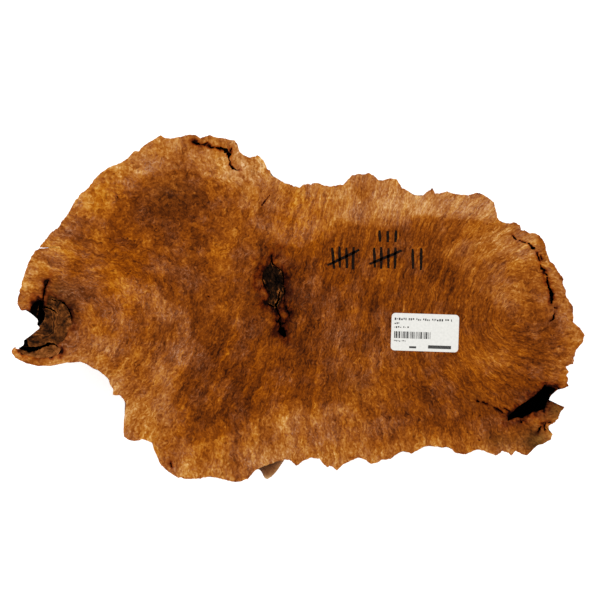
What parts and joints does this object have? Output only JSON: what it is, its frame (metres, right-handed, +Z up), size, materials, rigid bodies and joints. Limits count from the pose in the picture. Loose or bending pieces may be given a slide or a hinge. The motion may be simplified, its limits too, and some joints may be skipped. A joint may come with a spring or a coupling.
{
  "type": "red mallee burl cap",
  "caption": "Rough-edged burl cap of red mallee wood, sawn flat on one face and knobbly on the other, with a blank paper label.",
  "frame": {"origin": "on the surface that the burl rests on, under the middle of its outline", "axes": "+X along the length, from the hollow end to the end with the black pocket; +Y across it, towards the long convex shoulder; +Z up, out of the sawn face"},
  "size_m": [0.486, 0.296, 0.0762],
  "materials": {
    "burl_wood": "satin",
    "label_paper": "satin"
  },
  "bodies": {
    "root": {"burl": "burl_wood", "price_label": "label_paper"}
  },
  "joints": []
}
